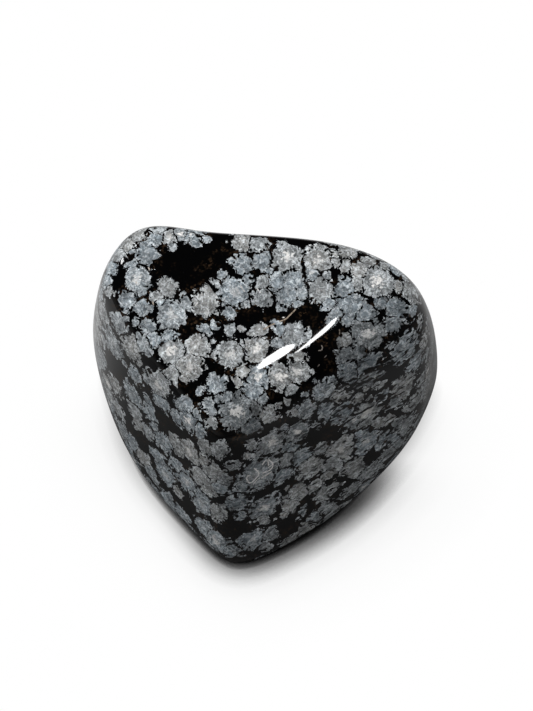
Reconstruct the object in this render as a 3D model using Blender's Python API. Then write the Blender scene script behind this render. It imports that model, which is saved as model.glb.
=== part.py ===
"""A tumbled pebble of snowflake obsidian: one solid stone, in metres, +Z up.

The rock broke along flat faces, and tumbling wore those faces smooth and rounded the edges
between them. The stone is built the same way: a ball is cut back to a set of worn faces
with rounded edges between them, a knuckle is raised on one corner and the back is hollowed
a little, and the underside is ground flat where the stone rests.

The origin is on the resting face, under the middle of the stone. The broad sloping face
looks to the front, which is -Y, and the stone is longest along X.
"""

import math

import bmesh
import bpy
from mathutils import Vector

MM = 0.001

# Each worn face: the turn round the stone from its front (90 is its right side, 180 its
# back), the tilt above level, both in degrees, and the distance from the stone's middle.
WORN_FACES = {
    "front_slope": (0, 67, 11.6 * MM),
    "left_wall": (-47, 5, 11.5 * MM),
    "right_wall": (26, 13, 9.5 * MM),
    "left_end": (-82, 2, 16.5 * MM),
    "left_underside": (-75, -20, 16.8 * MM),
    "right_end": (80, 3, 16.1 * MM),
    "right_underside": (52, -25, 14.6 * MM),
    "back_wall": (177, 5, 9.6 * MM),
    "left_shoulder": (-133, 21, 19.3 * MM),
    "right_shoulder": (136, 28, 17.8 * MM),
    "base": (0, -90, 11.4 * MM),
}
EDGE_CRISPNESS = 10

# Each swelling, or hollow where the height is negative: its turn and tilt, its height, and
# how far it spreads, in degrees as seen from the stone's middle.
SWELLINGS = {
    "back_left_knuckle": (-135, 40, 2.0 * MM, 8),
    "back_hollow": (-172, 2, -0.6 * MM, 20),
}

MIDDLE_HEIGHT = 11.0 * MM
BALL_SUBDIVISIONS = 5
SHARP_EDGE = math.radians(30)

STONE_COLOR = (0.075, 0.08, 0.09, 1.0)
STONE_ROUGHNESS = 0.12
STONE_METALLIC = 0.0


def facing(turn, tilt):
    """The direction that lies turn degrees round from the front and tilt degrees above level."""
    turn = math.radians(turn)
    tilt = math.radians(tilt)
    level = math.cos(tilt)
    return Vector((math.sin(turn) * level, -math.cos(turn) * level, math.sin(tilt)))


def reach(direction):
    """How far the stone's surface lies from its middle in a direction."""
    closeness = 0.0
    for turn, tilt, distance in WORN_FACES.values():
        toward = max(direction.dot(facing(turn, tilt)), 0.0)
        closeness += (toward / distance) ** EDGE_CRISPNESS
    length = closeness ** (-1 / EDGE_CRISPNESS)
    for turn, tilt, height, spread in SWELLINGS.values():
        apart = direction.angle(facing(turn, tilt)) / math.radians(spread)
        length += height * math.exp(-apart * apart / 2)
    return length


def shape_stone(bm):
    """Cuts a ball back to the worn faces, then grinds the underside flat at z = 0."""
    bmesh.ops.create_icosphere(bm, subdivisions=BALL_SUBDIVISIONS, radius=1.0)
    middle = Vector((0.0, 0.0, MIDDLE_HEIGHT))
    for vert in bm.verts:
        direction = vert.co.normalized()
        vert.co = middle + direction * reach(direction)
    cut = bmesh.ops.bisect_plane(
        bm,
        geom=bm.verts[:] + bm.edges[:] + bm.faces[:],
        dist=0.001 * MM,
        plane_co=(0, 0, 0),
        plane_no=(0, 0, 1),
        clear_inner=True,
    )
    rim = [item for item in cut["geom_cut"] if isinstance(item, bmesh.types.BMEdge)]
    bmesh.ops.contextual_create(bm, geom=rim)
    bmesh.ops.recalc_face_normals(bm, faces=bm.faces)


def centre_over_origin(bm):
    """Moves the stone so that the origin is under the middle of its length and depth."""
    for axis in range(2):
        places = [vert.co[axis] for vert in bm.verts]
        offset = (min(places) + max(places)) / 2
        for vert in bm.verts:
            vert.co[axis] -= offset


def stone_material():
    material = bpy.data.materials.new("snowflake_obsidian")
    material.use_nodes = True
    shader = material.node_tree.nodes["Principled BSDF"]
    shader.inputs["Base Color"].default_value = STONE_COLOR
    shader.inputs["Roughness"].default_value = STONE_ROUGHNESS
    shader.inputs["Metallic"].default_value = STONE_METALLIC
    return material


def make_stone():
    bm = bmesh.new()
    shape_stone(bm)
    centre_over_origin(bm)
    mesh = bpy.data.meshes.new("stone")
    bm.to_mesh(mesh)
    bm.free()
    mesh.shade_smooth()
    mesh.set_sharp_from_angle(angle=SHARP_EDGE)
    mesh.materials.append(stone_material())
    stone = bpy.data.objects.new("stone", mesh)
    bpy.context.scene.collection.objects.link(stone)


def clear_scene():
    for obj in list(bpy.data.objects):
        bpy.data.objects.remove(obj, do_unlink=True)


clear_scene()
make_stone()
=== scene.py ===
# %% [markdown]
# # A tumbled snowflake obsidian
#
# This lesson dresses one pebble of snowflake obsidian. The real stone is black volcanic
# glass. While it aged, grey crystals grew in it outwards from many small points, as round
# rosettes, and a tumbler then cut through glass and rosettes alike and polished them to one
# smooth skin. So the stone is a single piece, and nearly all of its look is in its form,
# its polish and its markings.
#
# The lesson goes in this order: the fixed frame, the camera, the form of the stone, the surface
# it rests on, the lights, the places of the rosettes and scratches, and last the material.

# %% Load the fixed frame
import math
import random

import bpy
import numpy as np
from mathutils import Matrix, Vector
from mathutils.bvhtree import BVHTree


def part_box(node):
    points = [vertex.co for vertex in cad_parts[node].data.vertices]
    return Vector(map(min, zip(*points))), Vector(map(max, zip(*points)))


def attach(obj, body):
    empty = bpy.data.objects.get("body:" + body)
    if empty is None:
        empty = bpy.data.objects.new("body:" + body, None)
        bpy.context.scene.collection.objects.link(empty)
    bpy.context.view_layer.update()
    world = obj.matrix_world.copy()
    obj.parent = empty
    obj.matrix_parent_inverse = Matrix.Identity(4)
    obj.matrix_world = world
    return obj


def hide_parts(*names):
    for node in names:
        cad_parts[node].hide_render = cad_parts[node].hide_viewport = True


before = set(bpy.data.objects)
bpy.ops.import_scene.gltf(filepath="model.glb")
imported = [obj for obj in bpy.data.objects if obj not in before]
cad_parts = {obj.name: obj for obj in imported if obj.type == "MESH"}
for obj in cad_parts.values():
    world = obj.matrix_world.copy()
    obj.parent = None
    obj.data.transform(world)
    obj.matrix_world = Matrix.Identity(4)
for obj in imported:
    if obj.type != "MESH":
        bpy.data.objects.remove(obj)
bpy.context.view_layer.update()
MM = 0.001
stone_low, stone_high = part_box("stone")


def in_mm(lengths, digits=1):
    """Lengths in rounded millimetres, for the lines that the cells print."""
    return [round(length / MM, digits) for length in lengths]


def put(name, data):
    """A new object that shows this data, linked to the scene."""
    thing = bpy.data.objects.new(name, data)
    bpy.context.scene.collection.objects.link(thing)
    return thing


print("the frame holds", len(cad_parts), "piece,", in_mm(stone_high - stone_low), "mm")

# %% [markdown]
# ## Camera
#
# The stone was seen from in front and well above, about 55 degrees over the surface it rests
# on, and from far enough away that its sides hardly draw together. A long lens at 300 mm does
# the same. The scale comes from the picture: 10.15 pixels to a millimetre. A photographer would
# then slide the camera sideways until the stone sits where it should in the frame, and the
# script does that too, so the lens needs no shift.

# %% Place the camera
PICTURE_WIDTH_PX, PICTURE_HEIGHT_PX = 533, 711
PIXELS_PER_MM = 10.15
CAMERA_DISTANCE = 300 * MM
CAMERA_TILT = math.radians(55)
SENSOR_LONG_SIDE_MM = 36
CLIP_START = 10 * MM
MIDDLE_HEIGHT = 11 * MM
STONE_MIDDLE_PX = (263.5, 390)

focal_px = PIXELS_PER_MM * CAMERA_DISTANCE / MM
lens_mm = focal_px / PICTURE_HEIGHT_PX * SENSOR_LONG_SIDE_MM
look = Vector((0, math.cos(CAMERA_TILT), -math.sin(CAMERA_TILT)))
picture_right = Vector((1, 0, 0))
picture_up = picture_right.cross(look)


def make_camera(stone_middle):
    """A camera whose picture has the stone's middle at STONE_MIDDLE_PX."""
    across = (PICTURE_WIDTH_PX / 2 - STONE_MIDDLE_PX[0]) / PIXELS_PER_MM * MM
    up = (STONE_MIDDLE_PX[1] - PICTURE_HEIGHT_PX / 2) / PIXELS_PER_MM * MM
    data = bpy.data.cameras.new("camera")
    data.sensor_width = SENSOR_LONG_SIDE_MM
    data.lens = lens_mm
    data.clip_start = CLIP_START
    camera = put("camera", data)
    camera.location = stone_middle + picture_right * across + picture_up * up - look * CAMERA_DISTANCE
    camera.rotation_euler = look.to_track_quat("-Z", "Y").to_euler()
    bpy.context.scene.camera = camera
    return camera


print("lens", round(lens_mm, 1), "mm")

# %% [markdown]
# ## Worn faces
#
# A pebble like this starts as a broken lump with flat faces. Tumbling keeps the faces and
# rounds the edges. The form could be sculpted, or cut from a cube with planes and bevelled,
# but a rule says it more simply. Each worn face is a plane at a known distance from the
# stone's middle. In any direction, take how squarely the direction meets each plane, divided
# by the plane's distance, raise it to a power and add them all up. The surface lies at that
# sum to the power minus one over the same number. A high power leaves crisp edges, and a low
# one gives an egg.
#
# The planes are named by how they look from the front. Each has a turn round the stone, a
# tilt above level and a distance. A swelling has a turn, a tilt, its height, which is below
# zero in a hollow, and its spread in degrees.

# %% The stone's worn faces
WORN_FACES = {
    "front slope": (0, 67, 11.6 * MM),
    "left wall": (-47, 5, 11.5 * MM),
    "right wall": (26, 13, 9.5 * MM),
    "left end": (-82, 2, 16.5 * MM),
    "left underside": (-75, -20, 16.8 * MM),
    "right end": (80, 3, 16.1 * MM),
    "right underside": (52, -25, 14.6 * MM),
    "back wall": (177, 5, 9.6 * MM),
    "left shoulder": (-133, 21, 19.3 * MM),
    "right shoulder": (136, 28, 17.8 * MM),
    "base": (0, -90, 11.4 * MM),
}
EDGE_CRISPNESS = 10.0
SWELLINGS = {
    "back left knuckle": (-135, 40, 2.0 * MM, 8),
    "back hollow": (-172, 2, -0.6 * MM, 20),
}


def facing(turn, tilt):
    """The direction turn degrees round from the front and tilt degrees above level."""
    turn = math.radians(turn)
    tilt = math.radians(tilt)
    level = math.cos(tilt)
    return Vector((math.sin(turn) * level, -math.cos(turn) * level, math.sin(tilt)))


print(len(WORN_FACES), "worn faces and", len(SWELLINGS), "swellings")

# %% [markdown]
# ## A small helper for node trees
#
# Both the form and the material are formulas written in nodes. This helper adds a node,
# joins its inputs and hands back its output, so that a formula can be written line by line.

# %% Helper: write formulas as nodes
class Formula:
    """Adds nodes to a tree. Inputs may be numbers, tuples or the outputs of other nodes."""

    def __init__(self, tree):
        self.tree = tree

    def node(self, kind, inputs=(), **settings):
        node = self.tree.nodes.new(kind)
        for name, value in settings.items():
            setattr(node, name, value)
        pairs = inputs.items() if isinstance(inputs, dict) else enumerate(inputs)
        for key, value in pairs:
            if isinstance(value, bpy.types.NodeSocket):
                self.tree.links.new(value, node.inputs[key])
            elif value is not None:
                node.inputs[key].default_value = value
        return node

    def math(self, operation, *values, clamp=False):
        return self.node("ShaderNodeMath", values, operation=operation, use_clamp=clamp).outputs[0]

    def vector(self, operation, *values):
        node = self.node("ShaderNodeVectorMath", values, operation=operation)
        single = operation in {"DOT_PRODUCT", "LENGTH", "DISTANCE"}
        return node.outputs["Value" if single else "Vector"]

    def scale(self, vector, factor):
        node = self.node("ShaderNodeVectorMath", {0: vector, "Scale": factor}, operation="SCALE")
        return node.outputs["Vector"]

    def ramp(self, value, low, high, to_low=0.0, to_high=1.0, smooth=True):
        """Value carried from low..high to to_low..to_high and held at its ends."""
        node = self.node(
            "ShaderNodeMapRange",
            {"Value": value, "From Min": low, "From Max": high, "To Min": to_low, "To Max": to_high},
            interpolation_type="SMOOTHSTEP" if smooth else "LINEAR",
        )
        return node.outputs["Result"]

    def blend(self, amount, first, second, how="MIX"):
        node = self.node("ShaderNodeMix", data_type="RGBA", blend_type=how)
        colours = [s for s in node.inputs if s.type == "RGBA"]
        for socket, value in zip([node.inputs[0], *colours], (amount, first, second)):
            if isinstance(value, bpy.types.NodeSocket):
                self.tree.links.new(value, socket)
            else:
                socket.default_value = value
        return next(s for s in node.outputs if s.type == "RGBA")


print("the helper is ready")

# %% [markdown]
# ## The stone's form in Geometry Nodes
#
# The tree starts from a cube of square patches, because a ball made that way has no poles,
# so the polish shows no pinched spots. It evens the patches out, blows the cube up to a ball,
# gives each point the distance that the rule above finds, and presses everything that would
# sink below the resting face onto it. A faint waviness keeps the faces from being as flat as
# a mirror: a tumbler never leaves them so.

# %% Start and end a tree
def start_tree(name, inputs):
    """A tree with these named inputs, each with its kind and starting value."""
    tree = bpy.data.node_groups.new(name, "GeometryNodeTree")
    for title, kind, value in inputs:
        tree.interface.new_socket(name=title, in_out="INPUT", socket_type=kind).default_value = value
    tree.interface.new_socket(name="Geometry", in_out="OUTPUT", socket_type="NodeSocketGeometry")
    f = Formula(tree)
    return f, f.node("NodeGroupInput").outputs


def end_tree(f, geometry, material):
    """Makes instances real, because an export drops them, and sets the material."""
    plain = f.node("GeometryNodeRealizeInstances", {0: geometry}).outputs[0]
    finished = f.node("GeometryNodeSetMaterial", {"Geometry": plain, "Material": material}).outputs[0]
    f.node("NodeGroupOutput", {0: finished})
    return f.tree


print("ready to build trees")

# %% Build the tree of worn faces
PATCHES_PER_SIDE = 128
WAVE_HEIGHT = 0.012 * MM
WAVES_PER_MM = 0.16
TYPICAL_REACH_MM = 15.0
BELOW_EVERYTHING = -1.0


def worn_stone_tree(material):
    inputs = [
        ("Patches per side", "NodeSocketInt", 16),
        ("Edge crispness", "NodeSocketFloat", 4.0),
        ("Middle height", "NodeSocketFloat", 0.0),
        ("Wave height", "NodeSocketFloat", 0.0),
    ]
    f, given = start_tree("worn stone", inputs)
    cube_inputs = {f"Vertices {axis}": f.math("ADD", given["Patches per side"], 1) for axis in "XYZ"}
    cube = f.node("GeometryNodeMeshCube", {"Size": (2, 2, 2), **cube_inputs}).outputs["Mesh"]
    place = f.node("GeometryNodeInputPosition").outputs[0]
    evened = f.vector("TANGENT", f.scale(place, math.pi / 4))
    direction = f.vector("NORMALIZE", evened)
    closeness = 0.0
    for turn, tilt, distance in WORN_FACES.values():
        meeting = f.vector("DOT_PRODUCT", direction, tuple(facing(turn, tilt)))
        share = f.math("DIVIDE", f.math("MAXIMUM", meeting, 0.0), distance)
        closeness = f.math("ADD", f.math("POWER", share, given["Edge crispness"]), closeness)
    reach = f.math("POWER", closeness, f.math("DIVIDE", -1.0, given["Edge crispness"]))
    for turn, tilt, height, spread in SWELLINGS.values():
        meeting = f.vector("DOT_PRODUCT", direction, tuple(facing(turn, tilt)))
        angle = f.math("ARCCOSINE", f.math("MINIMUM", meeting, 1.0))
        apart = f.math("DIVIDE", angle, math.radians(spread))
        fall = f.math("EXPONENT", f.math("MULTIPLY", f.math("POWER", apart, 2.0), -0.5))
        reach = f.math("MULTIPLY_ADD", fall, height, reach)
    waves = f.node(
        "ShaderNodeTexNoise",
        {"Vector": f.scale(direction, TYPICAL_REACH_MM), "Scale": WAVES_PER_MM, "Detail": 1.0},
    ).outputs[0]
    reach = f.math("MULTIPLY_ADD", f.math("SUBTRACT", waves, 0.5), given["Wave height"], reach)
    raised = f.node("ShaderNodeCombineXYZ", {"Z": given["Middle height"]}).outputs[0]
    lifted = f.vector("ADD", f.scale(direction, reach), raised)
    resting = f.vector("MAXIMUM", lifted, (BELOW_EVERYTHING, BELOW_EVERYTHING, 0.0))
    moved = f.node("GeometryNodeSetPosition", {"Geometry": cube, "Position": resting}).outputs[0]
    smooth = f.node("GeometryNodeSetShadeSmooth", {0: moved}).outputs[0]
    return end_tree(f, smooth, material)


print("one cube of", 6 * PATCHES_PER_SIDE**2, "patches")

# %% Turn the tree into a plain mesh
def mesh_from_tree(tree, name, **values):
    """Runs a tree on an empty object with its named inputs set, and returns the mesh it makes."""
    holder = put(name, bpy.data.meshes.new(name))
    modifier = holder.modifiers.new(name, "NODES")
    modifier.node_group = tree
    for item in tree.interface.items_tree:
        if item.item_type == "SOCKET" and item.in_out == "INPUT" and item.name in values:
            modifier[item.identifier] = values[item.name]
    depsgraph = bpy.context.evaluated_depsgraph_get()
    mesh = bpy.data.meshes.new_from_object(holder.evaluated_get(depsgraph))
    bpy.data.objects.remove(holder, do_unlink=True)
    return mesh


def over_the_frame(mesh):
    """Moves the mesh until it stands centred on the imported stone. Returns how far it moved."""
    points = np.empty(len(mesh.vertices) * 3)
    mesh.vertices.foreach_get("co", points)
    points = points.reshape(-1, 3)
    middle = (points.min(axis=0) + points.max(axis=0)) / 2
    wanted = (stone_low + stone_high) / 2
    move = Vector((wanted.x - middle[0], wanted.y - middle[1], 0))
    mesh.transform(Matrix.Translation(move))
    return move


obsidian = bpy.data.materials.new("obsidian")
stone_mesh = mesh_from_tree(
    worn_stone_tree(obsidian),
    "worn stone",
    **{
        "Patches per side": PATCHES_PER_SIDE,
        "Edge crispness": EDGE_CRISPNESS,
        "Middle height": MIDDLE_HEIGHT,
        "Wave height": WAVE_HEIGHT,
    },
)
stone_middle = over_the_frame(stone_mesh) + Vector((0, 0, MIDDLE_HEIGHT))
stone = put("tumbled_stone", stone_mesh)
camera = make_camera(stone_middle)
print(len(stone_mesh.polygons), "faces; the stone's middle is at", in_mm(stone_middle, 2), "mm")

# %% [markdown]
# ## The surface it rests on
#
# A plain white sheet, lit until it burns out to white. Only a soft contact shadow is left of
# the stone's shade, so the sheet that the camera sees is drawn from how much the stone crowds
# each spot of it (the ambient occlusion), over a few distances. The shadow is deepest in front on
# the right, away from the light, and its wide part is cleared behind the stone.
#
# The light that the sheet bounces onto the stone is that of a grey sheet. The polish mirrors a
# darker one, which is paler behind, to the left and close by on the right, because there the rim
# of the stone is pale in the picture.

# %% Floor
FLOOR_SIZE = 1600 * MM
CONTACT = (
    # reach, depth behind and depth in front
    (0.8 * MM, 2.8, 3.0),
    (1.8 * MM, 0.35, 1.0),
    (2.8 * MM, 0.22, 2.4),
    (4.2 * MM, 0.06, 0.5),
    (6.5 * MM, 0.04, 0.2),
    (11.0 * MM, 0.05, 0.16),
)
CONTACT_SAMPLES = 4
SPREAD_STARTS = 2 * MM
CLEARED = (1 * MM, 12 * MM)
SHADE_DEEPENS_FORWARD = (1 * MM, -6 * MM)
SHADE_DEEPENS_RIGHTWARD = (-12 * MM, 2 * MM)
SHEET_BOUNCE = 0.27
SHEET_MIRRORED_FRONT = 0.08
SHEET_MIRRORED_BACK = 0.42
SHEET_PALER_LEFTWARD = 0.5
SHEET_PALER_RIGHTWARD = 0.50
SHEET_DARKER_FAR_RIGHT = (32 * MM, 55 * MM)
SHEET_PALER_BACKWARD = 0.87
SHEET_TURN = (6 * MM, 34 * MM)


def grey_colour(f, value):
    return f.node("ShaderNodeCombineColor", [value, value, value]).outputs[0]


def floor_material():
    material = bpy.data.materials.new("pale sheet")
    material.use_nodes = True
    f = Formula(material.node_tree)
    f.tree.nodes.clear()
    ray = f.node("ShaderNodeLightPath").outputs
    place = f.node("ShaderNodeTexCoord").outputs["Object"]
    right, back, _ = f.node("ShaderNodeSeparateXYZ", [place]).outputs
    leftward = f.math("MULTIPLY", f.math("MINIMUM", right, 0.0), -SHEET_PALER_LEFTWARD)
    turned = f.math("MULTIPLY_ADD", back, SHEET_PALER_BACKWARD, leftward)
    rightward = f.math("MULTIPLY", right, SHEET_PALER_RIGHTWARD)
    rightward = f.math("MULTIPLY", rightward, f.ramp(right, *SHEET_DARKER_FAR_RIGHT, 1.0, 0.0))
    turned = f.math("MAXIMUM", turned, rightward)
    mirrored_grey = f.ramp(turned, *SHEET_TURN, SHEET_MIRRORED_FRONT, SHEET_MIRRORED_BACK)
    greys = [grey_colour(f, grey) for grey in (SHEET_BOUNCE, mirrored_grey)]
    matt = f.node("ShaderNodeBsdfDiffuse", [f.blend(ray["Is Glossy Ray"], *greys)])
    deep = f.ramp(back, *SHADE_DEEPENS_FORWARD)
    deep = f.math("MULTIPLY", deep, f.ramp(right, *SHADE_DEEPENS_RIGHTWARD))
    touching = spreading = 1.0
    for reach, depth_behind, depth_in_front in CONTACT:
        occlusion = f.node("ShaderNodeAmbientOcclusion", {"Distance": reach}, samples=CONTACT_SAMPLES)
        crowding = occlusion.outputs["AO"]
        depth = f.math("MULTIPLY_ADD", deep, depth_in_front - depth_behind, depth_behind)
        if reach < SPREAD_STARTS:
            touching = f.math("MULTIPLY", f.math("POWER", crowding, depth), touching)
        else:
            spreading = f.math("MULTIPLY", f.math("POWER", crowding, depth), spreading)
    cleared = f.ramp(back, *CLEARED)
    spreading = f.math("MULTIPLY_ADD", cleared, f.math("SUBTRACT", 1.0, spreading), spreading)
    contact = f.math("MULTIPLY", touching, spreading)
    seen = f.node("ShaderNodeEmission", {"Color": (1, 1, 1, 1), "Strength": contact})
    sheet = f.node("ShaderNodeMixShader", [ray["Is Camera Ray"], matt.outputs[0], seen.outputs[0]])
    f.node("ShaderNodeOutputMaterial", {"Surface": sheet.outputs[0]})
    return material


def make_floor():
    half = FLOOR_SIZE / 2
    corners = [(-half, -half, 0), (half, -half, 0), (half, half, 0), (-half, half, 0)]
    mesh = bpy.data.meshes.new("floor")
    mesh.from_pydata(corners, [], [(0, 1, 2, 3)])
    mesh.materials.append(floor_material())
    put("floor", mesh)


make_floor()
print("floor", FLOOR_SIZE, "m wide")

# %% [markdown]
# ## Light
#
# The light falls from overhead, a little from behind, so that the slope is bright and the front
# walls are four times darker. A lower lamp lights the left wall, and a weak one the right rim. All
# are wide and soft. The slope would mirror the overhead lamp, and yet its glass is pure black, so
# these lamps are kept out of mirror images. What the polish does mirror is a dim haze along the
# horizon, stronger on the left, which turns the glass of the left edges from black to dark grey.

# %% Lamps and haze
SOFT_LAMPS = {
    # turn round the stone, tilt above the surface, width, watts
    "overhead lamp": (180, 82, 340 * MM, 2.4),
    "left lamp": (-100, 25, 300 * MM, 1.35),
    "right lamp": (85, 20, 300 * MM, 0.28),
}
LAMP_DISTANCE = 450 * MM
HAZE_LEFT = 0.25
HAZE_RIGHT = 0.05
HAZE_FADES = (-0.6, 0.1)
HAZE_TOP = 22
HAZE_COLOUR = (1, 1, 0.99, 1)


def add_lamp(name, shape, place, toward, along, sizes, watts):
    """An area lamp whose light leaves against toward, with its first size measured along."""
    data = bpy.data.lights.new(name, "AREA")
    data.shape = shape
    data.size, data.size_y = sizes
    data.energy = watts
    lamp = put(name, data)
    back = toward.normalized()
    side = (along - back * along.dot(back)).normalized()
    turned = Matrix((side, back.cross(side), back)).transposed()
    lamp.matrix_world = Matrix.Translation(place) @ turned.to_4x4()
    return lamp


def hang_haze():
    world = bpy.data.worlds.new("room")
    world.use_nodes = True
    f = Formula(world.node_tree)
    f.tree.nodes.clear()
    direction = f.node("ShaderNodeTexCoord").outputs["Generated"]
    right, _, up = f.node("ShaderNodeSeparateXYZ", [direction]).outputs
    haze = f.ramp(right, *HAZE_FADES, HAZE_LEFT, HAZE_RIGHT)
    haze = f.math("MULTIPLY", haze, f.ramp(up, 0.0, math.sin(math.radians(HAZE_TOP)), 1.0, 0.0))
    light = f.node("ShaderNodeBackground", {"Color": HAZE_COLOUR, "Strength": haze}).outputs[0]
    f.node("ShaderNodeOutputWorld", {"Surface": light})
    bpy.context.scene.world = world


for name, (turn, tilt, width, watts) in SOFT_LAMPS.items():
    toward = facing(turn, tilt)
    place = stone_middle + toward * LAMP_DISTANCE
    lamp = add_lamp(name, "DISK", place, toward, facing(turn + 90, 0), (width, width), watts)
    lamp.visible_glossy = False
hang_haze()
bpy.context.scene.view_settings.view_transform = "Standard"
print(len(SOFT_LAMPS), "soft lamps and a haze up to", HAZE_TOP, "degrees")

# %% [markdown]
# ## Glints
#
# Two white slivers lie end to end on the slope, near its right ridge, and a small one sits on the
# left rim. They are the mirror images of lamps. So each lamp is hung where its image falls in the
# right place. The script sends lines of sight to the middle of the glint, its ends and its sides,
# lets the polish mirror them, and sees where they cross the plane of the lamp. That tells how the
# polish stretches the lamp, and so the shape the lamp must have.

# %% Mirror a line of sight
polish = BVHTree.FromObject(stone, bpy.context.evaluated_depsgraph_get())
GLINT_LAMP_DISTANCE = 400 * MM
SMOOTHING_PX = 2.5


def line_of_sight(x_px, y_px):
    right = picture_right * (x_px + 0.5 - PICTURE_WIDTH_PX / 2)
    up = picture_up * (PICTURE_HEIGHT_PX / 2 - y_px - 0.5)
    return (look * focal_px + right + up).normalized()


def mirrored(x_px, y_px):
    """Where a line of sight meets the stone, and the direction in which the polish sends it on."""
    line = line_of_sight(x_px, y_px)
    place = polish.ray_cast(camera.location, line)[0]
    normal = Vector()
    for across in (-SMOOTHING_PX, 0, SMOOTHING_PX):
        for down in (-SMOOTHING_PX, 0, SMOOTHING_PX):
            normal += polish.ray_cast(camera.location, line_of_sight(x_px + across, y_px + down))[1]
    return place, line.reflect(normal.normalized())


print("the slope mirrors", [round(v, 2) for v in mirrored(280, 355)[1]])

# %% Hang the glint lamps
GLINTS = {
    # both ends in the picture, width in pixels, brightness
    "broad glint": ((260, 366), (298, 342), 7.5, 30.0),
    "thin glint": ((300, 350), (339, 317), 3.8, 30.0),
    "rim glint": ((121, 264), (123, 257), 1.6, 20.0),
}


def hang_glint(name, start, end, width_px, radiance):
    start, end = Vector(start), Vector(end)
    middle = (start + end) / 2
    half_along = (end - start) / 2
    half_across = half_along.orthogonal().normalized() * width_px / 2
    place, toward = mirrored(*middle)
    lamp_middle = place + toward * GLINT_LAMP_DISTANCE
    across_axis = toward.orthogonal().normalized()
    up_axis = toward.cross(across_axis)

    def on_lamp_plane(pixel):
        place, onward = mirrored(*pixel)
        travel = (lamp_middle - place).dot(toward) / onward.dot(toward)
        offset = place + onward * travel - lamp_middle
        return np.array([offset.dot(across_axis), offset.dot(up_axis)])

    columns = []
    for half in (half_along, half_across):
        columns.append((on_lamp_plane(middle + half) - on_lamp_plane(middle - half)) / 2)
    axes, half_sizes, _ = np.linalg.svd(np.array(columns).T)
    along = across_axis * axes[0, 0] + up_axis * axes[1, 0]
    sizes = [float(half) * 2 for half in half_sizes]
    watts = radiance * math.pi * math.pi / 4 * sizes[0] * sizes[1]
    add_lamp(name, "ELLIPSE", lamp_middle, toward, along, sizes, watts)
    return sizes


for name, (start, end, width_px, radiance) in GLINTS.items():
    print(name, "lamp", in_mm(hang_glint(name, start, end, width_px, radiance)), "mm")

# %% [markdown]
# ## Where the rosettes are
#
# The rosettes sit where the stone shows them: a few dozen large ones, smaller ones between
# them, and plain black glass where there are none. The seen side is laid out one by one. Each
# rosette is named by its place in the picture, in pixels, with its radius in millimetres and
# how white its heart is, from 0 to 1. Below 0 the whole rosette is darker, and above 1 it is
# darker round a white heart. The script then sends a line of sight through that pixel and puts
# the rosette where the line meets the stone, so it lies on the surface from any side.

# %% Rosettes laid out one by one
# In these lists a whiteness below 0 or above 1 is painted shade: it darkens whole rosettes, mostly along
# the right ridge, on the wall below it and at the lower tip of the slope.
FRONT_SLOPE_PX = [
    (155, 239, 0.9, 0.1), (170, 236, 0.9, 0.5), (172, 246, 0.55, 0), (186, 238, 0.45, 0),
    (194, 241, 0.6, 0), (207, 238, 0.5, 0), (240, 241, 1.05, 0), (257, 243, 0.95, 0),
    (146, 252, 1.15, 0.2), (131, 251, 0.42, 0), (137, 279, 1.5, 0.5), (132, 265, 0.5, 0),
    (126, 300, 1, 0.2), (166, 286, 1.1, 0), (156, 295, 0.7, 0), (160, 302, 0.4, 0), (142, 307, 0.9, 0),
    (171, 315, 1.6, 0.4), (186, 303, 0.75, 0), (204, 303, 1.4, 0.1), (242, 263, 0.95, 0),
    (234, 291, 1.6, 0.4), (222, 273, 0.35, 0), (217, 285, 0.5, 0), (230, 313, 0.75, 0),
    (246, 281, 0.6, 0), (244, 303, 0.6, 0), (253, 281, 0.3, 0), (253, 292, 0.35, 0), (261, 261, 1, 0.1),
    (262, 281, 0.7, 0), (262, 298, 0.95, 0.1), (287, 256, 1.55, 0.9), (317, 259, 1.4, 0.7),
    (312, 272, 0.75, 0.5), (291, 280, 1.15, 0.1), (278, 281, 0.95, 0), (287, 295, 1.15, 0.1),
    (301, 293, 0.75, 0), (296, 303, 0.5, 0), (320, 291, 1.3, 0.3), (328, 302, 0.7, 0),
    (345, 289, 1.2, 0.1), (350, 303, 1.45, -0.2), (337, 313, 0.8, -0.3), (348, 318, 0.95, -0.5),
    (348, 250, 1.1, 0.2), (335, 262, 0.5, 0), (346, 265, 0.6, 0), (335, 254, 0.4, 0.3),
    (378, 281, 1.8, 1), (360, 270, 1, 0.2), (357, 283, 0.8, 0), (368, 262, 0.75, 0.1),
    (383, 301, 0.85, -0.6), (398, 285, 0.7, -0.4), (384, 266, 0.7, 0.2), (196, 345, 1.25, 0.3),
    (206, 328, 0.65, 0), (213, 326, 0.45, 0), (229, 330, 0.7, 0), (241, 328, 0.45, 0),
    (230, 354, 1.5, 0.5), (257, 330, 0.8, 0), (257, 348, 1.2, 0.9), (277, 342, 0.65, 0),
    (293, 334, 1.35, 0.2), (281, 330, 0.75, 0), (171, 350, 1.4, 0.8), (168, 337, 0.85, 0),
    (172, 372, 0.95, 0), (189, 366, 1.5, 0.5), (204, 367, 0.35, 0), (213, 341, 0.35, 0),
    (216, 384, 1.1, 0), (219, 397, 0.65, -0.3), (200, 388, 0.45, 0), (243, 371, 0.85, 0.1),
    (237, 381, 0.55, 0), (258, 376, 1.25, 1), (252, 391, 1.05, -0.2), (236, 411, 1.9, 1.5),
    (226, 399, 0.9, -0.5), (253, 408, 0.9, -0.7), (249, 425, 1.1, -0.8), (280, 376, 1.35, 1),
    (297, 372, 1.25, 0.6), (291, 389, 0.65, 0.2), (298, 357, 0.75, 0.1), (262, 398, 0.7, -0.3),
    (278, 404, 0.22, 0), (287, 404, 0.3, 0), (146, 325, 0.85, 0), (135, 322, 0.45, 0),
    (268, 270, 0.4, 0), (325, 274, 0.35, 0.1), (179, 233, 0.9, 0.9), (190, 234, 0.55, 0.6),
    (158, 232, 0.7, 0.2),
]
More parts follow.
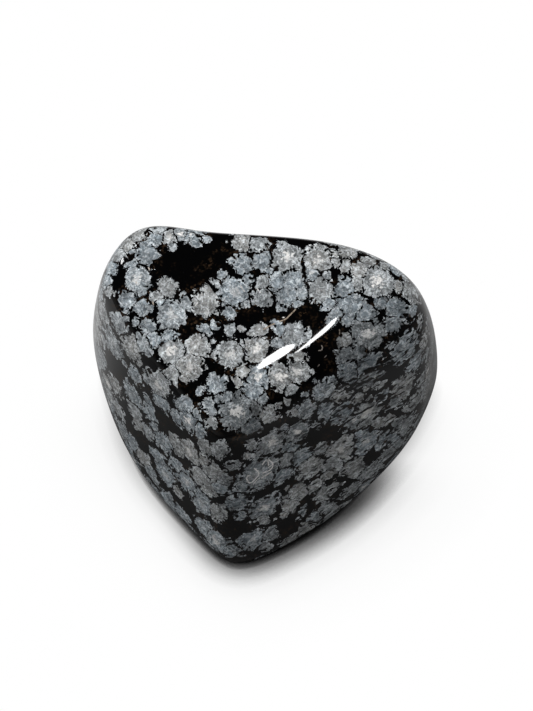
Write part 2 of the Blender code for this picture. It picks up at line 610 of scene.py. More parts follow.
LEFT_WALL_PX = [
    (108, 290, 0.6, 0), (102, 309, 1.05, 0.1), (117, 321, 0.95, 0), (112, 343, 1.4, 0.3),
    (131, 349, 1.2, 0.3), (124, 363, 0.4, 0), (134, 374, 0.95, 0.1), (144, 344, 0.95, 0.1),
    (152, 340, 0.75, 0), (158, 385, 1.45, 0.6), (162, 402, 1, 0.2), (146, 378, 0.55, 0),
    (146, 398, 0.4, 0), (132, 394, 1.2, 0.2), (135, 412, 1.05, 0.1), (115, 385, 1.1, 0.2),
    (97, 332, 1.1, 0.1), (97, 358, 1.2, 0.2), (104, 392, 1.2, 0.1), (117, 408, 1.1, 0.2),
    (123, 431, 1.2, 0.1), (138, 424, 0.8, 0), (132, 443, 1.2, 0.2), (149, 412, 0.85, 0),
    (154, 426, 0.55, 0), (147, 431, 0.85, 0.1), (163, 442, 1.2, 0.2), (178, 446, 1.1, 0),
    (189, 451, 1.3, 0.6), (204, 446, 0.9, 0.1), (205, 463, 0.9, 0), (218, 450, 0.95, 0),
    (208, 403, 0.65, 0), (213, 411, 0.45, 0), (211, 421, 0.5, 0), (184, 405, 1, 0.1),
    (187, 420, 1.15, 0.8), (176, 416, 0.85, 0), (195, 414, 0.55, 0), (198, 430, 0.75, 0),
    (211, 471, 1.25, 0.1), (222, 479, 0.85, 0), (219, 488, 0.8, 0.1), (200, 477, 1.2, 0.2),
    (207, 488, 1, 0), (176, 465, 0.9, 0.1), (186, 481, 1.15, 0.5), (193, 494, 0.8, 0.1),
    (165, 474, 1.35, 0.4), (158, 457, 1, 0.1), (142, 457, 1.2, 0.2), (150, 471, 1, 0),
    (155, 490, 1, 0.1), (168, 500, 1.15, 0.2), (180, 512, 0.95, 0.1), (201, 502, 1.45, 0.3),
    (217, 512, 1.1, 0.1), (203, 527, 1.2, 0.2), (215, 540, 1.5, 0.6), (229, 550, 0.95, 0.1),
    (178, 492, 0.7, 0), (196, 536, 0.9, 0.1), (137, 235, 0.75, 0), (126, 244, 0.85, 0.1),
    (117, 254, 0.9, 0), (110, 267, 0.95, 0.2), (105, 280, 0.9, 0), (100, 295, 0.85, 0.1),
    (97, 318, 0.85, 0.1), (95, 345, 0.85, 0), (98, 375, 0.85, 0.1),
]
RIGHT_WALL_PX = [
    (247, 455, 0.6, 0.5), (271, 442, 1.55, 0.8), (254, 445, 0.6, 0), (268, 415, 1, 0.1),
    (284, 427, 0.5, 0), (257, 475, 2.1, 0.3), (271, 465, 1.1, 0.2), (245, 484, 1.1, 0.1),
    (233, 467, 0.6, 0), (284, 460, 0.85, 0.1), (284, 474, 0.95, 0.1), (302, 455, 1.1, 0.1),
    (311, 466, 1.5, 0.2), (321, 447, 0.85, 0), (341, 449, 1.5, 0.5), (333, 463, 1.25, 0.1),
    (328, 474, 0.75, 0), (297, 492, 1.25, 0.1), (314, 486, 0.85, 0), (323, 493, 1, 0.1),
    (325, 507, 1, 0.1), (315, 515, 0.8, 0), (289, 505, 1, 0.1), (284, 514, 0.6, 0.5),
    (302, 512, 0.6, 0), (303, 530, 1, 0.1), (290, 540, 1.1, 0.1), (279, 548, 0.8, 0),
    (315, 530, 0.8, 0.1), (331, 519, 0.8, 0.1), (347, 507, 0.9, 0), (362, 496, 0.9, 0.1),
    (353, 488, 0.95, 0.1), (354, 468, 1.35, 0.2), (366, 441, 1.55, 0.5), (371, 470, 1.3, 0.1),
    (388, 453, 1.1, 0.1), (397, 444, 0.9, 0.1), (378, 482, 0.9, 0.1), (322, 391, 1.25, 0.1),
    (305, 394, 0.45, 0), (339, 394, 0.9, 0.1), (306, 409, 1.15, 0.1), (295, 413, 0.55, 0),
    (327, 408, 0.9, 0), (340, 414, 1.2, 0.1), (358, 398, 0.65, 0.1), (350, 370, 1.1, -0.5),
    (367, 364, 1.4, -0.4), (368, 378, 1, -0.4), (377, 384, 0.45, 0), (368, 334, 1.8, 1.7),
    (344, 341, 0.85, -0.8), (347, 353, 0.95, -0.8), (359, 352, 1, -0.8), (364, 314, 1.15, -0.5),
    (373, 325, 0.95, -0.7), (395, 308, 1.25, -0.5), (393, 321, 1.05, -0.5), (411, 291, 1.3, -0.2),
    (413, 311, 0.5, 0), (425, 303, 0.95, 0.1), (432, 321, 1.1, 0.1), (420, 320, 0.7, 0),
    (426, 336, 1.15, 0.1), (391, 345, 0.45, 0), (387, 360, 0.45, 0), (405, 348, 1.45, 0.2),
    (415, 362, 1.2, 0.1), (402, 386, 1.65, 0.3), (395, 401, 0.85, 0), (421, 378, 0.9, 0.1),
    (416, 398, 1.25, 0.2), (383, 394, 0.75, 0.1), (366, 387, 0.45, 0), (367, 412, 1.55, 0.6),
    (380, 422, 0.85, 0.1), (353, 420, 0.95, 0.8), (404, 426, 1.45, 0.2), (419, 418, 0.9, 0.1),
    (395, 437, 0.85, 0.1), (380, 440, 0.8, 0), (298, 432, 1.35, 0.9), (290, 446, 0.75, 0),
    (239, 502, 1.1, 0.1), (241, 514, 0.55, 0), (264, 507, 1.45, 0.7), (262, 518, 0.75, 0.1),
    (253, 538, 1.3, 0.5), (270, 534, 1.05, 0.1), (263, 546, 0.6, 0), (255, 560, 0.8, -0.2),
    (237, 553, 0.5, 0.1), (427, 352, 0.6, 0.1), (430, 388, 1, 0.1), (405, 278, 0.6, 0.1),
    (396, 262, 0.8, 0), (420, 281, 0.9, 0.1), (428, 294, 0.9, 0), (433, 309, 0.95, 0.1),
    (436, 327, 1, 0), (435, 345, 1, 0.1), (434, 364, 1.05, 0.2), (432, 384, 0.95, 0),
    (435, 400, 0.9, 0.1), (429, 412, 0.8, 0), (412, 437, 0.9, 0.1), (400, 455, 0.8, 0),
]
# The left wall is seen at a slant, so its rosettes are a little larger than they look.
LEFT_WALL_GROWN = 1.18
left_wall_px = [(x, y, radius * LEFT_WALL_GROWN, white) for x, y, radius, white in LEFT_WALL_PX]
seen_px = FRONT_SLOPE_PX + left_wall_px + RIGHT_WALL_PX
print(len(seen_px), "rosettes on the seen side")

# %% Put them on the stone
rosettes = []
missed = 0
for x_px, y_px, radius_mm, whiteness_and_shade in seen_px:
    place = polish.ray_cast(camera.location, line_of_sight(x_px, y_px))[0]
    if place is None:
        missed += 1
    else:
        rosettes.append((*place, radius_mm * MM, whiteness_and_shade))
print(len(rosettes), "placed,", missed, "past the edge")

# %% [markdown]
# ## Rosettes on the hidden side
#
# The back, the underside and the far rim show the same stone, so they carry rosettes of the same
# sizes and spacing. Geometry Nodes scatters points that keep their distance from each other, with a
# fixed seed. The points that the camera can see are dropped, because that side is laid out already.

# %% Scatter over the stone
SCATTER_SPACING = 1.45 * MM
SCATTER_SEED = 7
SCATTER_DENSITY = 900000.0


def scatter_tree():
    inputs = [
        ("Stone", "NodeSocketObject", None),
        ("Spacing", "NodeSocketFloat", 1.0),
        ("Seed", "NodeSocketInt", 0),
    ]
    f, given = start_tree("rosette scatter", inputs)
    surface = f.node("GeometryNodeObjectInfo", {"Object": given["Stone"]}).outputs["Geometry"]
    scatter = f.node("GeometryNodeDistributePointsOnFaces", distribute_method="POISSON")
    for name, value in (("Mesh", surface), ("Distance Min", given["Spacing"]), ("Seed", given["Seed"])):
        f.tree.links.new(value, scatter.inputs[name])
    scatter.inputs["Density Max"].default_value = SCATTER_DENSITY
    dots = f.node("GeometryNodePointsToVertices", {0: scatter.outputs["Points"]}).outputs[0]
    return end_tree(f, dots, obsidian)


scattered = mesh_from_tree(
    scatter_tree(), "rosette scatter", Stone=stone, Spacing=SCATTER_SPACING, Seed=SCATTER_SEED
)
print(len(scattered.vertices), "points scattered over the whole stone")

# %% Keep the hidden ones
RIM_FACING = 0.28
CROWDING = 0.56
RADIUS_RANGE_MM = (0.55, 1.55)
MORE_SMALL_ONES = 1.3
WHITENESS_DRAW = (-0.8, 1.0)
dice = random.Random(SCATTER_SEED)


def is_hidden(place):
    """True where the surface turns away from the camera."""
    normal = polish.find_nearest(place)[1]
    return normal.dot((camera.location - place).normalized()) < RIM_FACING


def has_room(place, radius):
    """True where no rosette placed before lies under most of this one."""
    for x, y, z, other, _ in rosettes:
        if (Vector((x, y, z)) - place).length < (radius + other) * CROWDING:
            return False
    return True


for vert in scattered.vertices:
    small, large = RADIUS_RANGE_MM
    radius = (small + (large - small) * dice.random() ** MORE_SMALL_ONES) * MM
    whiteness_and_shade = max(0.0, dice.uniform(*WHITENESS_DRAW))
    if is_hidden(vert.co) and has_room(vert.co, radius):
        rosettes.append((*vert.co, radius, whiteness_and_shade))
print(len(rosettes), "rosettes in all")

# %% [markdown]
# ## Telling the surface about its rosettes
#
# A material cannot look up a list of rosettes, but it can read values stored on the mesh. So each
# face is told its three nearest rosettes: the step from each rosette's heart to each corner of the
# face, and the radii and whiteness. The steps blend exactly over the face, so the material knows
# its distance from all three hearts at every point, however fine the face.

# %% Store the three nearest rosettes on each face
NEAREST = 3
FACES_AT_ONCE = 4096


def nearest_rosettes(middles, hearts, radii):
    """For each face, the numbers of the rosettes whose rims are nearest."""
    found = np.empty((len(middles), NEAREST), int)
    for start in range(0, len(middles), FACES_AT_ONCE):
        block = slice(start, start + FACES_AT_ONCE)
        apart = np.linalg.norm(middles[block, None, :] - hearts[None, :, :], axis=2) - radii
        found[block] = np.argsort(apart, axis=1)[:, :NEAREST]
    return found


def store(mesh, name, values):
    """A vector stored on every corner of every face."""
    layer = mesh.attributes.new(name, "FLOAT_VECTOR", "CORNER")
    layer.data.foreach_set("vector", np.ascontiguousarray(values, np.float32).ravel())


def corner_table(mesh):
    """The points in millimetres, the point and the face of each corner, and the faces' middles."""
    points = np.empty(len(mesh.vertices) * 3)
    mesh.vertices.foreach_get("co", points)
    points = points.reshape(-1, 3) / MM
    corners = np.empty(len(mesh.loops), int)
    mesh.loops.foreach_get("vertex_index", corners)
    sizes = np.empty(len(mesh.polygons), int)
    mesh.polygons.foreach_get("loop_total", sizes)
    face_of_corner = np.repeat(np.arange(len(sizes)), sizes)
    middles = np.zeros((len(sizes), 3))
    np.add.at(middles, face_of_corner, points[corners])
    return points, corners, face_of_corner, middles / sizes[:, None]


def tell_rosettes(mesh):
    made = np.array(rosettes)
    hearts, radii, white = made[:, :3] / MM, made[:, 3] / MM, made[:, 4]
    points, corners, face_of_corner, middles = corner_table(mesh)
    nearest = nearest_rosettes(middles, hearts, radii)[face_of_corner]
    for rank in range(NEAREST):
        store(mesh, f"from_rosette_{rank + 1}", points[corners] - hearts[nearest[:, rank]])
    store(mesh, "rosette_radii", radii[nearest])
    store(mesh, "rosette_whiteness", white[nearest])


tell_rosettes(stone_mesh)
print("stored", [a.name for a in stone_mesh.attributes if "rosette" in a.name])

# %% [markdown]
# ## Scratches, chips and painted highlights
#
# A few fine marks lie in the polish: a brownish hairline scratch across the black glass, drawn
# as a painted reflection of light along it, two pale curls like small leaves low in front, which
# are painted highlights on the rims of small chips, and some bright specks. They are laid out in
# the picture as strokes, like the rosettes. Each face is told the step from the nearest stroke to
# its corners, and the stroke's half width, warmth and brightness.

# %% Strokes laid out one by one
STROKES_PX = [
    # half width in millimetres, warmth, brightness, then the points
    # a brownish hairline scratch in two pieces, drawn as a painted reflection of light along it
    (0.055, 1.0, 0.30, [(263, 329), (268, 326), (274, 323)]),
    (0.055, 1.0, 0.30, [(279, 321), (283, 319.5), (286, 318), (289, 315), (292, 312), (295, 309)]),
    (0.060, 0.2, 0.60, [(282.5, 317), (283.5, 317)]),
    # two pale curls: painted highlights on the rims of small chips
    (0.060, 0.1, 0.80, [(262, 464), (264, 461), (266, 459.5), (268, 459), (270, 460.5), (272, 462.5),
                        (272.5, 465), (271.5, 467.5), (269.5, 469.5), (266, 471.5), (262.5, 472.5)]),
    (0.055, 0.1, 0.75, [(267.5, 460), (268, 465)]),
    (0.050, 0.1, 0.70, [(272, 464), (268, 467)]),
    (0.055, 0.2, 0.70, [(271, 471), (267, 474), (261, 477.5)]),
    (0.060, 0.1, 0.80, [(250, 475), (247, 475.5), (246, 478), (247, 480.5), (249, 482.5), (251, 482),
                        (254, 479.5), (257.5, 475.5), (258.5, 473), (257, 470.5), (254, 468)]),
    (0.050, 0.1, 0.70, [(253, 483.5), (255, 481), (258, 478)]),
    (0.080, 0.2, 0.85, [(266.5, 474), (267.5, 473.5)]),
    (0.075, 0.2, 0.80, [(258, 478.5), (259, 478)]),
    (0.045, 0.6, 0.16, [(321, 345), (322, 347), (321, 350), (318, 350)]),
    (0.050, 0.3, 0.22, [(307, 326.5), (309, 326)]),
    (0.050, 0.3, 0.20, [(324, 319.5), (327, 317)]),
    (0.045, 0.8, 0.12, [(339, 329), (339, 334)]),
    (0.045, 0.5, 0.12, [(317, 366), (319, 364)]),
    (0.045, 0.5, 0.10, [(324, 357), (326, 355)]),
    (0.060, 0.1, 0.60, [(374, 377), (375, 376)]),
    (0.055, 0.1, 0.45, [(333.5, 479), (335, 478)]),
    (0.060, 0.1, 0.60, [(195, 305), (197, 302)]),
    (0.055, 0.1, 0.55, [(256, 287), (258, 290), (260, 292)]),
    (0.050, 0.3, 0.45, [(240, 285), (242, 288), (244, 291)]),
    (0.060, 0.7, 0.45, [(135, 283), (136, 282)]),
    (0.055, 0.5, 0.40, [(148, 267), (149, 269)]),
    (0.055, 0.8, 0.30, [(152, 301), (153, 304)]),
]
strokes = []
for half_width, warmth, brightness, points_px in STROKES_PX:
    places = [polish.ray_cast(camera.location, line_of_sight(x, y))[0] / MM for x, y in points_px]
    strokes += [(start, end, half_width, warmth, brightness) for start, end in zip(places, places[1:])]
print(len(strokes), "short strokes")


# %% Store the nearest stroke on each face
def from_stroke(points, start, end):
    """The step to each point from the nearest place on a stroke."""
    along = end - start
    share = np.clip((points - start) @ along / (along @ along), 0.0, 1.0)
    return points - start - share[:, None] * along


def tell_strokes(mesh):
    points, corners, face_of_corner, middles = corner_table(mesh)
    ends = [(np.array(start), np.array(end)) for start, end, *_ in strokes]
    looks = np.array([look for _, _, *look in strokes])
    apart = np.stack([np.linalg.norm(from_stroke(middles, *pair), axis=1) for pair in ends])
    nearest = apart.argmin(axis=0)[face_of_corner]
    step = np.empty((len(corners), 3))
    for number, pair in enumerate(ends):
        mine = nearest == number
        step[mine] = from_stroke(points[corners[mine]], *pair)
    store(mesh, "from_stroke", step)
    store(mesh, "stroke_look", looks[nearest])


tell_strokes(stone_mesh)
print("stored the strokes")

# %% [markdown]
# ## The material
#
# A rosette is a bundle of crystals that grew outwards from its heart and ends in many small rounded
# lobes, with black glass between them, so its rim looks like a leaf of parsley or a cauliflower.
# Painting each one would take a picture, and a plain circle would look like a dot. Instead the
# material grows them.
#
# Each rosette has a fused body round its heart. The space about it is filled with cells: a cell
# near the rim grows a small round lobe, and one farther out stays glass. Then glass is cut back
# in: short cracks that run outwards, ragged seams to the next rosette, a few pits, and on the
# right flank dark dashes. Soft noise shuts the cracks and seams in places, so that slices and
# neighbours fuse there.
#
# All of it is drawn at a place of the rosette's own: the step from its heart, moved by an amount
# that differs from heart to heart. So no two are alike, and on the right flank each pattern can be
# combed along the grain about its own heart. The distances are in millimetres throughout. A
# noise is named with its size, and its detail and roughness where they matter.

# %% Colours of the markings, and helpers for drawing them
GLASS_BLACK = (0.0012, 0.0012, 0.0013, 1)
BLUE_GREY = (0.165, 0.192, 0.212, 1)
WARM_GREY = (0.205, 0.207, 0.203, 1)
PALE_EDGE = (0.50, 0.53, 0.55, 1)
HEART_WHITE = (0.68, 0.67, 0.655, 1)
BROWN_FUZZ = (0.030, 0.018, 0.010, 1)
# White and warm for the strokes, which include painted highlights on chip rims and a painted reflection
# along the scratch.
MARK_AND_HIGHLIGHT_WHITE = (1.0, 1.0, 1.0, 1)
MARK_AND_HIGHLIGHT_WARM = (1.0, 0.80, 0.62, 1)


def cells(f, where, size, **more):
    """Voronoi cells about this many millimetres across."""
    return f.node("ShaderNodeTexVoronoi", {"Vector": where, "Scale": 1.0 / size}, **more).outputs


def clouds(f, where, size, detail=3.0, roughness=0.55):
    """Soft noise about this many millimetres across, from 0 to 1."""
    inputs = {"Vector": where, "Scale": 1.0 / size, "Detail": detail, "Roughness": roughness}
    return f.node("ShaderNodeTexNoise", inputs).outputs[0]


def uneven(f, where, size, amount, detail=2.0):
    """Soft noise about zero, up to half the amount to either side."""
    return f.math("MULTIPLY_ADD", clouds(f, where, size, detail), amount, -0.5 * amount)


def drawn_line(f, where, size, width):
    """A thin winding line, where soft noise crosses its middle."""
    noise = clouds(f, where, size, 2.0)
    return f.ramp(f.math("ABSOLUTE", f.math("SUBTRACT", noise, 0.5)), 0.0, width, 1.0, 0.0)


def swayed(f, where, size, amount):
    """A step that differs from place to place. Added to the place, it makes a drawing uneven."""
    noise = f.node("ShaderNodeTexNoise", {"Vector": where, "Scale": 1.0 / size, "Detail": 2.0})
    centred = f.vector("SUBTRACT", noise.outputs["Color"], (0.5, 0.5, 0.5))
    return f.scale(centred, amount)


def stored(f, name):
    return f.node("ShaderNodeAttribute", attribute_name=name).outputs["Vector"]


def split(f, vector):
    return f.node("ShaderNodeSeparateXYZ", [vector]).outputs


print("eight colours, and helpers for cells, noise and lines")

# %% The nearest of three rosettes
RIM_SWAY = (0.9, 0.55)
SAME_MM = 1e-5


def nearest_of_three(f, place):
    """The step from the nearest rosette's heart, the heart, its radius and whiteness, and the gap."""
    radii = split(f, stored(f, "rosette_radii"))
    white = split(f, stored(f, "rosette_whiteness"))
    sway = swayed(f, place, *RIM_SWAY)
    steps = [f.vector("ADD", stored(f, f"from_rosette_{rank + 1}"), sway) for rank in range(NEAREST)]
    rims = [f.math("SUBTRACT", f.vector("LENGTH", step), radii[rank]) for rank, step in enumerate(steps)]
    nearer = f.math("MINIMUM", rims[0], rims[1])
    farther = f.math("MAXIMUM", rims[0], rims[1])
    nearest = f.math("MINIMUM", nearer, rims[2])
    next_one = f.math("MINIMUM", farther, f.math("MAXIMUM", nearer, rims[2]))
    radius = whiteness_and_shade = 0.0
    step = (0.0, 0.0, 0.0)
    for rank, rim in enumerate(rims):
        mine = f.math("COMPARE", rim, nearest, SAME_MM)
        radius = f.math("MULTIPLY_ADD", mine, radii[rank], radius)
        whiteness_and_shade = f.math("MULTIPLY_ADD", mine, white[rank], whiteness_and_shade)
        step = f.vector("ADD", f.scale(steps[rank], mine), step)
    heart = f.vector("SUBTRACT", f.vector("ADD", place, sway), step)
    return step, heart, radius, whiteness_and_shade, f.math("SUBTRACT", next_one, nearest)


print("a field of the", NEAREST, "nearest rosettes")

# %% The grain on the right, and a place of the rosette's own
GRAIN = (0.861, 0.469, 0.191)
RIGHT_FLANK = (0.7, -0.5, -0.5)
GRAIN_STARTS = (-5.2, -2.2)
GRAIN_FULL_AT = 9.0
GRAIN_LEAST = 0.5
GRAIN_SQUEEZE = 0.44
HEART_SPREAD = 7.3


def combed(f, where, amount):
    """The place squeezed along the grain, so that what is drawn there comes out long that way."""
    along = f.vector("DOT_PRODUCT", where, GRAIN)
    return f.vector("ADD", where, f.scale(GRAIN, f.math("MULTIPLY", along, amount)))


def combing(f, place):
    """The amount of combing at a point: 0, and below 0 on the right flank."""
    flank = f.vector("DOT_PRODUCT", place, RIGHT_FLANK)
    amount = f.ramp(flank, *GRAIN_STARTS, 0.0, -GRAIN_SQUEEZE)
    rightward = f.ramp(split(f, place)[0], 0.0, GRAIN_FULL_AT, GRAIN_LEAST, 1.0)
    return f.math("MULTIPLY", amount, rightward)


print("on the right the lobes and cracks lie along", GRAIN)

# %% Body and lobes
LOBE_MM = 0.72
LOBE_SQUEEZE = 0.80
LOBE_SWAY = (0.3, 0.22)
LOBE_SHRINKS = (0.05, 0.25)
LOBE_DEEP_MM = 0.52
LOBE_RIM_MM = 0.18
LOBE_VANISHES = (0.25, 0.40)
LOBE_LOST_MM = 0.5
BODY_SHARE = 0.87
BODY_UNEVEN = (0.5, 0.50)
ROUGH = (0.16, 0.20)
NICK_APART_MM = 0.30
NICK_SWAY = (0.3, 0.2)
NICK_REACH = 0.22
NICK_MM = 0.10
BETWEEN_NICKS = 0.4


def grow_lobes(f, own, step, heart, radius, amount):
    """How far a point lies outside the crystal, the roughness of its rim, and the lobe's dice."""
    apart = f.scale(heart, HEART_SPREAD)
    squeezed = f.vector("ADD", f.scale(combed(f, step, amount), LOBE_SQUEEZE), apart)
    squeezed = f.vector("ADD", squeezed, swayed(f, own, *LOBE_SWAY))
    lobe = cells(f, squeezed, LOBE_MM)
    reach = f.math("DIVIDE", f.vector("DISTANCE", lobe["Position"], apart), LOBE_SQUEEZE)
    past_rim = f.math("SUBTRACT", reach, radius)
    size = f.ramp(past_rim, *LOBE_SHRINKS, LOBE_DEEP_MM, LOBE_RIM_MM)
    size = f.math("SUBTRACT", size, f.ramp(past_rim, *LOBE_VANISHES, 0.0, LOBE_LOST_MM))
    outside_lobe = f.math("MULTIPLY_ADD", lobe["Distance"], LOBE_MM, f.math("MULTIPLY", size, -1.0))

    body = f.math("MULTIPLY_ADD", radius, BODY_SHARE, uneven(f, own, *BODY_UNEVEN))
    outside_body = f.math("SUBTRACT", f.vector("LENGTH", step), body)
    nicks = cells(
        f, f.vector("ADD", own, swayed(f, own, *NICK_SWAY)), NICK_APART_MM, feature="DISTANCE_TO_EDGE"
    )
    nick = f.ramp(nicks["Distance"], 0.0, NICK_REACH, NICK_MM, -NICK_MM * BETWEEN_NICKS)
    rough = f.math("ADD", uneven(f, own, *ROUGH), nick)
    outside = f.math("ADD", f.math("MINIMUM", outside_lobe, outside_body), rough)
    return outside, rough, split(f, lobe["Color"])


print("lobes", LOBE_MM, "mm wide, past a body of", BODY_SHARE, "of the radius")

# %% Cracks and seams
SLICE_MM = 0.66
SLICE_SWAY = (0.35, 0.30)
SLICE_SPREAD = 3.1
CRACK_WIDTH = (0.40, 0.64, -0.16, 0.07)
CRACK_WIDENS_OUTWARD = (0.42, 0.95, -0.20, 0.05)
CRACK_NOISE = (0.6, 1.0)
CRACK_RAGGED = 0.5
CRACK_EDGE_MM = 0.03
SEAM_WIDTH = (0.46, 0.64, -0.10, 0.26)
SEAM_NOISE = (0.8, 4.0, 0.6)
SEAM_RAGGED = 1.2
SEAM_EDGE_MM = 0.04
# A width is a ramp: noise, or the depth in the rosette, from one value to another, and what the
# width is at each, in millimetres. Below zero the crack is shut.


def cracked(f, own, step, heart, radius, depth, rough):
    """0 in the cracks between the slices of a rosette, and 1 elsewhere."""
    outward = f.vector("NORMALIZE", f.vector("ADD", step, swayed(f, own, *SLICE_SWAY)))
    around = f.scale(outward, f.math("DIVIDE", radius, SLICE_MM))
    around = f.vector("ADD", around, f.scale(heart, SLICE_SPREAD))
    border = cells(f, around, 1.0, feature="DISTANCE_TO_EDGE")["Distance"]
    from_crack = f.math("MULTIPLY", border, f.math("MULTIPLY", depth, SLICE_MM))
    from_crack = f.math("SUBTRACT", from_crack, f.math("MULTIPLY", rough, CRACK_RAGGED))
    width = f.ramp(clouds(f, own, *CRACK_NOISE), *CRACK_WIDTH)
    width = f.math("ADD", width, f.ramp(depth, *CRACK_WIDENS_OUTWARD))
    return f.ramp(f.math("SUBTRACT", from_crack, width), -CRACK_EDGE_MM, CRACK_EDGE_MM)


def seamed(f, own, gap, rough):
    """0 in the ragged seam of glass to the next rosette, and 1 elsewhere."""
    width = f.ramp(clouds(f, own, *SEAM_NOISE), *SEAM_WIDTH)
    ragged_gap = f.math("MULTIPLY_ADD", rough, -SEAM_RAGGED, gap)
    return f.ramp(f.math("SUBTRACT", ragged_gap, width), -SEAM_EDGE_MM, SEAM_EDGE_MM)


print("slices", SLICE_MM, "mm wide at the rim, seams up to", SEAM_WIDTH[-1], "mm")

# %% Pits and dashes
PIT_RAYS = (1.1, 6.0)
PIT_APART_MM = 0.62
PIT_SWAY = (0.4, 0.8)
PIT_SHARE = 0.15
PIT_RIM = (0.16, 0.34)
PITS_START = (0.15, 0.4)
DASH_NOISE = (0.42, 1.0)
DASH_SQUEEZE = 0.50
DASH_HEIGHTS = (9.0, 16.0)
DASH_STARTS = (0.66, 0.545)
DASH_EDGE = 0.05


def pitted(f, own, step, heart, depth):
    """0 in a few pits, drawn out along the rosette's rays, and 1 elsewhere."""
    length = f.math("MULTIPLY_ADD", f.vector("LENGTH", step), *PIT_RAYS)
    rays = f.scale(f.vector("NORMALIZE", step), length)
    rays = f.vector("ADD", rays, f.scale(heart, HEART_SPREAD))
    pits = cells(f, f.vector("ADD", rays, swayed(f, own, *PIT_SWAY)), PIT_APART_MM)
    pit = f.math("LESS_THAN", split(f, pits["Color"])[0], PIT_SHARE)
    pit = f.math("MULTIPLY", pit, f.ramp(pits["Distance"], *PIT_RIM, 1.0, 0.0))
    return f.math("SUBTRACT", 1.0, f.math("MULTIPLY", pit, f.ramp(depth, *PITS_START)))


def dashed(f, own, amount, height):
    """0 in the dark dashes along the grain of the right flank, most of them high up."""
    dash = clouds(f, combed(f, own, -DASH_SQUEEZE), *DASH_NOISE)
    dash = f.math("SUBTRACT", dash, f.ramp(height, *DASH_HEIGHTS, *DASH_STARTS))
    on_flank = f.math("DIVIDE", amount, GRAIN_SQUEEZE)
    return f.math("MULTIPLY_ADD", f.ramp(dash, 0.0, DASH_EDGE), on_flank, 1.0)


print("a pit in", PIT_SHARE, "of the cells, and most dashes above", DASH_HEIGHTS[0], "mm")

# %% The greys inside a rosette
FACET_MM = 0.30
FACET_SWAY = (0.3, 0.25)
SPECK_MM = 0.13
VEIN = (0.60, 0.07)
DARK_LINE = (0.75, 0.06)
ELSEWHERE = (31.0, 17.0, 5.0)
TINT_MM = 4.0
TINT_BLEND = (0.42, 0.60)
PALE_NOISE = (0.7, 2.0)
MOTTLE_NOISE = (0.9, 4.0)
EDGE_PALES = (-0.19, -0.07, 0.0, 0.9)
VEINED = (0.34, 0.58, 0.2, 0.75)
PALE_SPECKS = (0.90, 0.96, 0.0, 0.75)
PAINTED_SHADE_DARKEST = 0.28


def crystal_grey(f, own, heart, outside, lobe_dice, specks, whiteness_and_shade):
    """The grey of the crystals, with pale edges, veins and specks, facets and dark lines, and painted
    shade.
    """
    grey = f.blend(f.ramp(clouds(f, heart, TINT_MM), *TINT_BLEND), BLUE_GREY, WARM_GREY)
    pale = f.math("MAXIMUM", drawn_line(f, own, *VEIN), f.ramp(outside, *EDGE_PALES))
    pale = f.math("MULTIPLY", pale, f.ramp(clouds(f, own, *PALE_NOISE), *VEINED))
    grey = f.blend(f.math("MAXIMUM", pale, f.ramp(specks[0], *PALE_SPECKS)), grey, PALE_EDGE)
    facets = cells(f, f.vector("ADD", own, swayed(f, own, *FACET_SWAY)), FACET_MM)
    shade = 1.0
    for value, spread, least in (
        (split(f, facets["Color"])[1], 0.46, 0.78),
        (specks[1], 0.20, 0.90),
        (lobe_dice[1], 0.40, 0.80),
        (clouds(f, own, *MOTTLE_NOISE), 1.6, 0.28),
        (drawn_line(f, f.vector("ADD", own, ELSEWHERE), *DARK_LINE), -0.50, 1.0),
    ):
        shade = f.math("MULTIPLY", shade, f.math("MULTIPLY_ADD", value, spread, least))
    # Painted shade: a whiteness below 0 darkens the whole rosette, and above 1 the body round its white
    # heart.
    for painted_shade_code in ((-1.0, 0.0, PAINTED_SHADE_DARKEST, 1.0), (1.0, 2.0, 1.0, PAINTED_SHADE_DARKEST)):
        shade = f.math("MULTIPLY", shade, f.ramp(whiteness_and_shade, *painted_shade_code, smooth=False))
    return f.blend(1.0, grey, grey_colour(f, shade), "MULTIPLY")


print("facets", FACET_MM, "mm and specks", SPECK_MM, "mm")

# %% A whole rosette
RIM_EDGE_MM = 0.03
HEART_RAGGED = (0.3, 1.6, 3.0)
HEART_SIZE = (0.10, 0.40)
HEART_WHITENS = (0.05, 0.9)
HEART_FAINT = 0.3
HEART_SHADE = (0.5, 0.70)


def grow_rosettes(f, place):
    """How much crystal there is at a point, and its colour."""
    step, heart, radius, whiteness_and_shade, gap = nearest_of_three(f, place)
    amount = combing(f, place)
    own = f.vector("ADD", f.scale(heart, HEART_SPREAD), combed(f, step, amount))
    depth = f.math("DIVIDE", f.vector("LENGTH", step), radius)
    outside, rough, lobe_dice = grow_lobes(f, own, step, heart, radius, amount)
    crystal = f.ramp(outside, -RIM_EDGE_MM, RIM_EDGE_MM, 1.0, 0.0)
    for share in (
        cracked(f, own, step, heart, radius, depth, rough),
        seamed(f, own, gap, rough),
        pitted(f, own, step, heart, depth),
        dashed(f, own, amount, split(f, place)[2]),
    ):
        crystal = f.math("MULTIPLY", crystal, share)

    specks = split(f, cells(f, own, SPECK_MM)["Color"])
    grey = crystal_grey(f, own, heart, outside, lobe_dice, specks, whiteness_and_shade)
    ragged = f.math("ADD", depth, uneven(f, own, *HEART_RAGGED))
    white_here = f.ramp(ragged, *HEART_SIZE, 1.0, 0.0)
    white_here = f.math("MULTIPLY", white_here, f.ramp(whiteness_and_shade, *HEART_WHITENS), clamp=True)
    # Painted shade dims the white heart as well, where the whiteness is above 1.
    painted_heart_shade = f.ramp(whiteness_and_shade, 1.0, 2.0, 1.0, HEART_FAINT, smooth=False)
    white_here = f.math("MULTIPLY", white_here, painted_heart_shade)
    white_shade = f.math("MULTIPLY_ADD", specks[1], *HEART_SHADE)
    white = f.blend(1.0, HEART_WHITE, grey_colour(f, white_shade), "MULTIPLY")
    return crystal, f.blend(white_here, grey, white)


print("rosettes are made of a body, lobes, cracks, seams, pits, veins and facets")

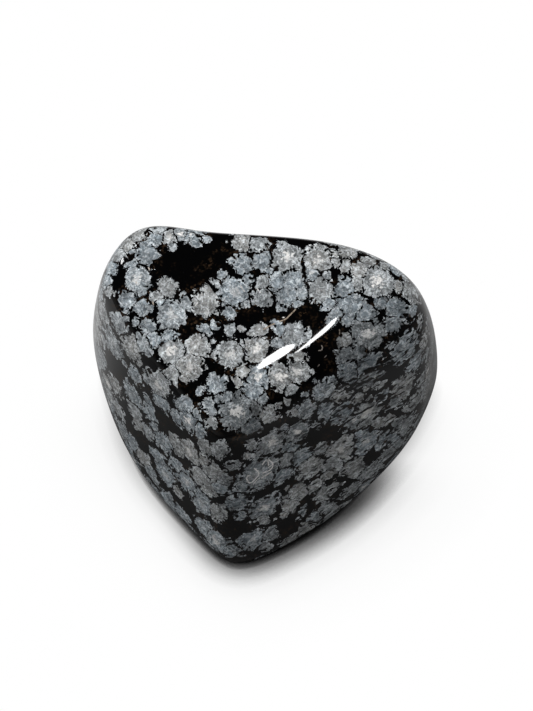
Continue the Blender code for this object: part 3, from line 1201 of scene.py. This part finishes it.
# %% Put the whole stone together
POLISH_ROUGHNESS = 0.022
GLASS_IOR = 1.5
FUZZ_MM = 0.17
FUZZ_SPREAD_MM = 1.4
FUZZ_GRAINS = (0.60, 0.95)
FUZZ_PATCHES = (0.46, 0.66)
MARK_EDGE = (-0.02, 0.03)
MARK_NOISE = (0.25, 2.0)
MARK_BROKEN = (0.36, 0.52, 0.35, 1.0)


def stone_colour(f, place):
    """The black glass with its brown fuzz, and the rosettes in it."""
    crystal, rosette = grow_rosettes(f, place)
    grains = f.ramp(split(f, cells(f, place, FUZZ_MM)["Color"])[0], *FUZZ_GRAINS)
    fuzz = f.math("MULTIPLY", f.ramp(clouds(f, place, FUZZ_SPREAD_MM), *FUZZ_PATCHES), grains)
    glass = f.blend(fuzz, GLASS_BLACK, BROWN_FUZZ)
    return f.blend(crystal, glass, rosette)


def obsidian_shader(material):
    material.use_nodes = True
    f = Formula(material.node_tree)
    f.tree.nodes.clear()
    place = f.scale(f.node("ShaderNodeTexCoord").outputs["Object"], 1 / MM)
    # The strokes: a scratch and specks, with painted highlights on chip rims and a painted reflection
    # along the scratch.
    half_width, warmth, brightness = split(f, stored(f, "stroke_look"))
    from_line = f.math("SUBTRACT", f.vector("LENGTH", stored(f, "from_stroke")), half_width)
    mark = f.ramp(from_line, *MARK_EDGE, 1.0, 0.0)
    mark = f.math("MULTIPLY", mark, f.ramp(clouds(f, place, *MARK_NOISE), *MARK_BROKEN))
    mark_and_highlight_colour = f.blend(warmth, MARK_AND_HIGHLIGHT_WHITE, MARK_AND_HIGHLIGHT_WARM)
    mark_and_highlight_colour = f.blend(1.0, mark_and_highlight_colour, grey_colour(f, brightness), "MULTIPLY")
    colour = f.blend(mark, stone_colour(f, place), mark_and_highlight_colour)
    looks = {"Base Color": colour, "Roughness": POLISH_ROUGHNESS, "IOR": GLASS_IOR}
    shader = f.node("ShaderNodeBsdfPrincipled", looks).outputs[0]
    f.node("ShaderNodeOutputMaterial", {"Surface": shader})


obsidian_shader(obsidian)
print(len(obsidian.node_tree.nodes), "nodes in the material")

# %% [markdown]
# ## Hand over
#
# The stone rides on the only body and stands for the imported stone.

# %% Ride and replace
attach(stone, "root")
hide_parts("stone")
